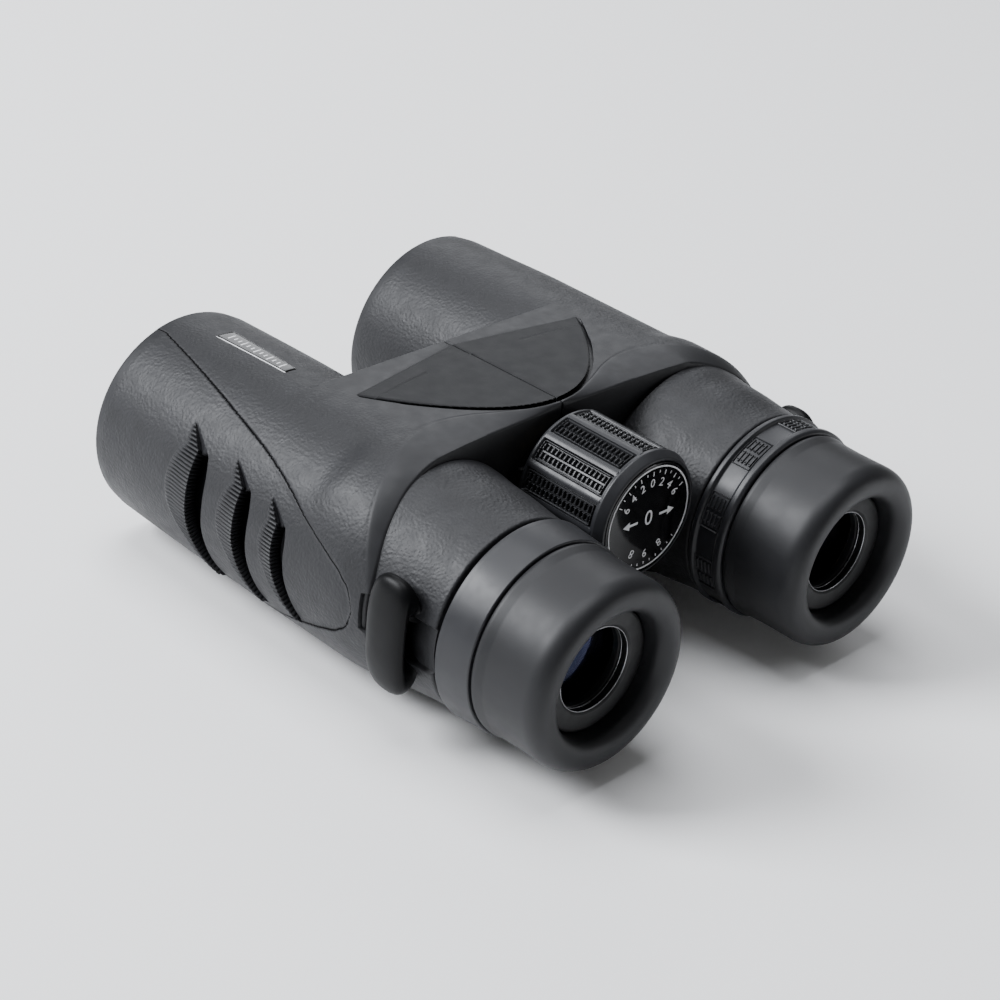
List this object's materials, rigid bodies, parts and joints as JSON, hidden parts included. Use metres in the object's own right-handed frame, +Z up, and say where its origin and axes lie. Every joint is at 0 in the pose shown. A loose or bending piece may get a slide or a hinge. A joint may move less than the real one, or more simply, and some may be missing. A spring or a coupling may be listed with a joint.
{
  "type": "binoculars",
  "caption": "Roof-prism binoculars in pebbled rubber armour with a folding bridge hinge, central focus wheel, diopter ring, twist-up eyecups and strap lugs.",
  "frame": {"origin": "middle of the underside, half way between the eyecup rims and the objective rims", "axes": "+X towards the right barrel with the diopter ring, +Y towards the objectives, +Z up"},
  "size_m": [0.133, 0.142, 0.0535],
  "materials": {
    "armour_rubber": "pebbled matte rubber",
    "eyecup_rubber": "smooth matte soft rubber",
    "bridge_satin": "smooth satin rubber",
    "casing_plastic": "glass-filled polycarbonate",
    "lug_plastic": "moulded satin",
    "ring_plastic": "fine satin",
    "inner_plastic": "dull black",
    "wheel_rubber": "moulded, raised bars",
    "gloss_black": "glossy with printed marks",
    "black_metal": "black anodised",
    "coated_glass": "purple-green anti-reflection coating",
    "prism_glass": "polished",
    "axle_steel": "ground",
    "washer_brass": "turned"
  },
  "bodies": {
    "left_barrel": {"left_casing": "casing_plastic", "left_armour": "armour_rubber", "left_rear_armour": "armour_rubber", "left_strap_lug": "lug_plastic", "left_petal_cover": "bridge_satin", "left_objective_cell": "black_metal", "left_objective_crown_lens": "coated_glass", "left_objective_flint_lens": "coated_glass", "left_objective_retaining_ring": "black_metal", "left_prism_holder": "inner_plastic", "left_half_penta_prism": "prism_glass", "left_roof_prism": "prism_glass", "left_eyepiece_barrel": "inner_plastic", "left_eye_lens": "coated_glass", "left_eye_lens_retaining_ring": "ring_plastic", "left_field_lens_cell": "black_metal", "left_field_lens": "coated_glass", "left_trim_ring": "ring_plastic", "label_plate": "gloss_black", "hinge_axle": "axle_steel", "hinge_front_cap": "lug_plastic", "thrust_washer": "washer_brass"},
    "right_barrel": {"right_casing": "casing_plastic", "right_armour": "armour_rubber", "right_rear_armour": "armour_rubber", "right_strap_lug": "lug_plastic", "right_petal_cover": "bridge_satin", "right_objective_cell": "black_metal", "right_objective_crown_lens": "coated_glass", "right_objective_flint_lens": "coated_glass", "right_objective_retaining_ring": "black_metal", "right_prism_holder": "inner_plastic", "right_half_penta_prism": "prism_glass", "right_roof_prism": "prism_glass", "right_eyepiece_barrel": "inner_plastic", "right_eye_lens": "coated_glass", "right_eye_lens_retaining_ring": "ring_plastic"},
    "right_field_group": {"right_field_lens_cell": "black_metal", "right_field_lens": "coated_glass"},
    "diopter_ring": {"right_diopter_ring": "ring_plastic"},
    "focus_wheel": {"focus_wheel": "wheel_rubber", "focus_wheel_cap": "gloss_black", "focus_spindle": "axle_steel"},
    "focus_shuttle": {"focus_shuttle": "washer_brass"},
    "left_focuser": {"left_focusing_cell": "black_metal", "left_focusing_lens": "coated_glass"},
    "right_focuser": {"right_focusing_cell": "black_metal", "right_focusing_lens": "coated_glass"},
    "left_eyecup_guide": {"left_eyecup_guide": "inner_plastic"},
    "left_eyecup": {"left_eyecup": "eyecup_rubber"},
    "right_eyecup_guide": {"right_eyecup_guide": "inner_plastic"},
    "right_eyecup": {"right_eyecup": "eyecup_rubber"}
  },
  "joints": [
    {"name": "interpupillary_hinge", "type": "hinge", "parent": "left_barrel", "child": "right_barrel", "pos_m": [0, 0.004, 0.0375], "axis": [0, 1, 0], "range_deg": [0, 55]},
    {"name": "focus_wheel_turn", "type": "hinge", "parent": "left_barrel", "child": "focus_wheel", "pos_m": [0, -0.03, 0.0375], "axis": [0, 1, 0], "range_deg": [-90, 450]},
    {"name": "focus_shuttle_slide", "type": "slide", "parent": "left_barrel", "child": "focus_shuttle", "axis": [0, 1, 0], "range_m": [-0.005, 0.001]},
    {"name": "left_focus_slide", "type": "slide", "parent": "left_barrel", "child": "left_focuser", "axis": [0, 1, 0], "range_m": [-0.005, 0.001]},
    {"name": "right_focus_slide", "type": "slide", "parent": "right_barrel", "child": "right_focuser", "axis": [0, 1, 0], "range_m": [-0.005, 0.001]},
    {"name": "diopter_turn", "type": "hinge", "parent": "right_barrel", "child": "diopter_ring", "pos_m": [0.0387, -0.0465, 0.0263], "axis": [0, 1, 0], "range_deg": [-35, 35]},
    {"name": "diopter_slide", "type": "slide", "parent": "right_barrel", "child": "right_field_group", "axis": [0, 1, 0], "range_m": [-0.0012, 0.0012]},
    {"name": "left_eyecup_extend", "type": "slide", "parent": "left_barrel", "child": "left_eyecup_guide", "axis": [0, -1, 0], "range_m": [0, 0.008]},
    {"name": "left_eyecup_twist", "type": "hinge", "parent": "left_eyecup_guide", "child": "left_eyecup", "pos_m": [-0.0387, -0.06, 0.0263], "axis": [0, 1, 0], "range_deg": [0, 200]},
    {"name": "right_eyecup_extend", "type": "slide", "parent": "right_barrel", "child": "right_eyecup_guide", "axis": [0, -1, 0], "range_m": [0, 0.008]},
    {"name": "right_eyecup_twist", "type": "hinge", "parent": "right_eyecup_guide", "child": "right_eyecup", "pos_m": [0.0387, -0.06, 0.0263], "axis": [0, 1, 0], "range_deg": [0, 200]}
  ],
  "couplings": [
    {"joint": "focus_shuttle_slide", "follows": "focus_wheel_turn", "m_per_rad": -0.000636},
    {"joint": "left_focus_slide", "follows": "focus_wheel_turn", "m_per_rad": -0.000636},
    {"joint": "right_focus_slide", "follows": "focus_wheel_turn", "m_per_rad": -0.000636},
    {"joint": "diopter_slide", "follows": "diopter_turn", "m_per_rad": 0.00196},
    {"joint": "left_eyecup_extend", "follows": "left_eyecup_twist", "m_per_rad": 0.00229},
    {"joint": "right_eyecup_extend", "follows": "right_eyecup_twist", "m_per_rad": 0.00229}
  ]
}
